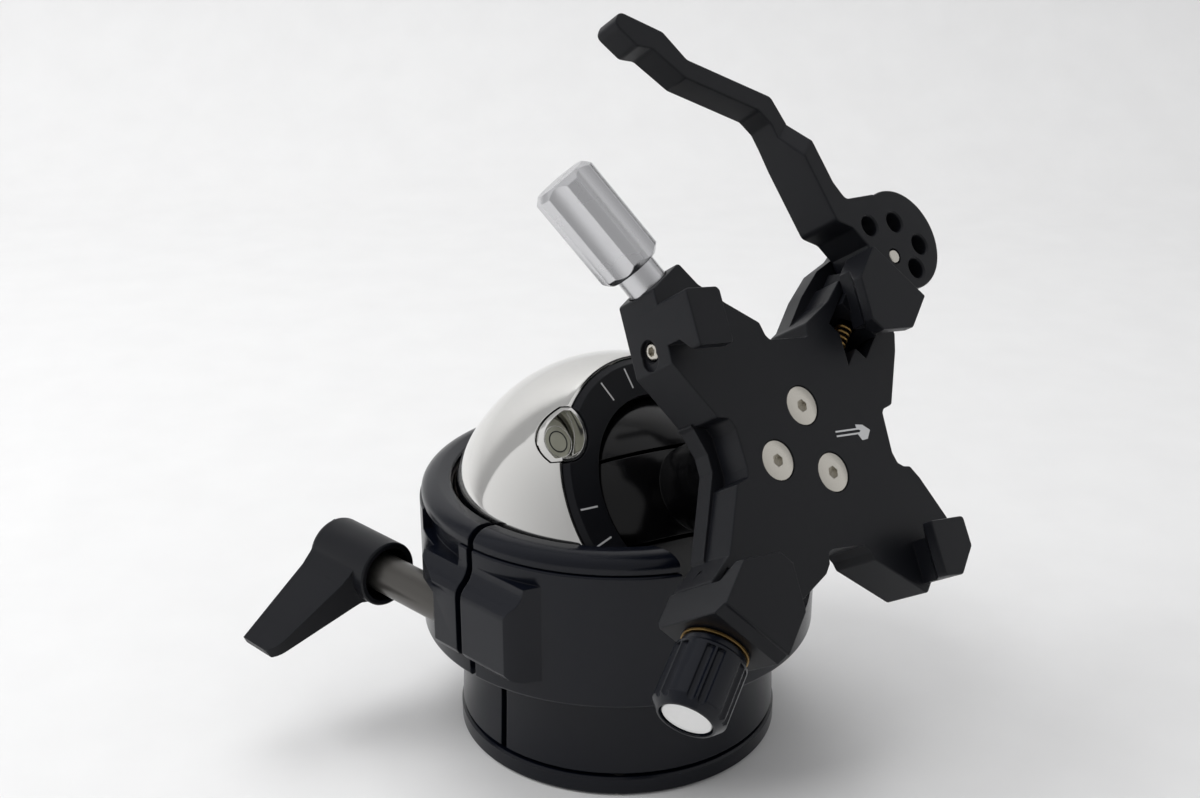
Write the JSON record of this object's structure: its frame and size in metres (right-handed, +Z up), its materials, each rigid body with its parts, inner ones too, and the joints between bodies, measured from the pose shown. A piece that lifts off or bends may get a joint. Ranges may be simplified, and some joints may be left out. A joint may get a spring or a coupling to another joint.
{
  "type": "camera ball head",
  "caption": "Camera ball head: a polished levelling ball in a split clamping housing, an inner ball that pans and tilts, and a dovetail plate clamp with a cam lever.",
  "frame": {"origin": "centre of the foot's underside, where the tripod's thread goes in", "axes": "+Z up along the housing's axis, +X to the right and +Y away from the viewer of the picture"},
  "size_m": [0.1319, 0.1146, 0.1379],
  "materials": {
    "black_anodised": "satin black anodised",
    "polished_ball": "mirror polished",
    "satin_silver": "satin clear anodised",
    "stainless": "plain turned stainless steel",
    "dark_steel": "dark oxide, satin",
    "bronze": "turned bronze",
    "slide_plastic": "dull, brownish black",
    "vial_acrylic": "clear, pale yellow-green",
    "white_disc": "smooth white"
  },
  "bodies": {
    "root": {"foot_plate": "black_anodised", "thread_bushing": "stainless", "foot_screw_1": "stainless", "foot_screw_2": "stainless", "foot_screw_3": "stainless", "foot_screw_4": "stainless", "housing": "black_anodised", "top_ring": "black_anodised", "upper_seat": "slide_plastic"},
    "main_lever": {"lever_shaft": "dark_steel", "lever_handle": "black_anodised", "lever_screw": "stainless"},
    "pan_seat": {"lower_seat": "slide_plastic"},
    "levelling_ball": {"outer_ball": "polished_ball", "index_ring": "black_anodised", "level_cup": "polished_ball", "level_vial": "vial_acrylic"},
    "pan_cheeks": {"cheek_front": "black_anodised", "cheek_back": "black_anodised", "tilt_axle": "stainless"},
    "clamp": {"clamp_deck": "black_anodised", "tilt_ball": "black_anodised", "tilt_bush": "bronze", "plate_screw_1": "stainless", "plate_screw_2": "stainless", "plate_screw_3": "stainless", "set_screw": "stainless", "cam_pin": "stainless", "jaw_spring": "bronze", "knob_stud": "stainless"},
    "black_jaw": {"jaw_b": "black_anodised", "knob_washer": "bronze"},
    "jaw_knob": {"black_knob": "black_anodised", "knob_cap": "white_disc"},
    "cam": {"cam_lever": "black_anodised"},
    "cam_jaw": {"jaw_c": "black_anodised"},
    "side_knob": {"silver_knob": "satin_silver", "silver_stud": "stainless"}
  },
  "joints": [
    {"name": "lever_turn", "type": "hinge", "parent": "root", "child": "main_lever", "pos_m": [-0.02509, -0.02553, 0.033], "axis": [-0.7133, 0.7009, 0], "range_deg": [0, 100]},
    {"name": "ball_pan", "type": "hinge", "parent": "root", "child": "pan_seat", "pos_m": [0, 0, 0.04178], "axis": [0, 0, 1], "range_deg": [-8, 280]},
    {"name": "ball_lean", "type": "hinge", "parent": "pan_seat", "child": "levelling_ball", "pos_m": [0, 0, 0.04178], "axis": [-0.6947, -0.7193, 0], "range_deg": [-30, 55]},
    {"name": "cheek_pan", "type": "hinge", "parent": "levelling_ball", "child": "pan_cheeks", "pos_m": [0, 0, 0.04178], "axis": [0.6001, -0.551, 0.5799], "continuous": true},
    {"name": "clamp_tilt", "type": "hinge", "parent": "pan_cheeks", "child": "clamp", "pos_m": [0, 0, 0.04178], "axis": [0.2414, -0.5094, -0.826], "range_deg": [-15, 20]},
    {"name": "jaw_b_slide", "type": "slide", "parent": "clamp", "child": "black_jaw", "axis": [-0.3784, -0.7929, -0.4777], "range_m": [0, 0.002]},
    {"name": "knob_turn", "type": "hinge", "parent": "black_jaw", "child": "jaw_knob", "pos_m": [0.01439, -0.06323, 0.05013], "axis": [-0.3784, -0.7929, -0.4777], "range_deg": [0, 720]},
    {"name": "cam_turn", "type": "hinge", "parent": "clamp", "child": "cam", "pos_m": [0.04781, 0.00315, 0.09194], "axis": [0.5821, -0.605, 0.5432], "range_deg": [-90, 0]},
    {"name": "jaw_c_slide", "type": "slide", "parent": "clamp", "child": "cam_jaw", "axis": [-0.3784, -0.7929, -0.4777], "range_m": [0, 0.0046]},
    {"name": "silver_knob_turn", "type": "hinge", "parent": "clamp", "child": "side_knob", "pos_m": [0.00196, -0.02596, 0.09981], "axis": [-0.6343, 0.0801, 0.7689], "range_deg": [0, 540]}
  ],
  "couplings": [
    {"joint": "knob_turn", "follows": "jaw_b_slide", "rad_per_m": 6283.2},
    {"joint": "jaw_c_slide", "follows": "cam_turn", "m_per_rad": -0.002928}
  ]
}
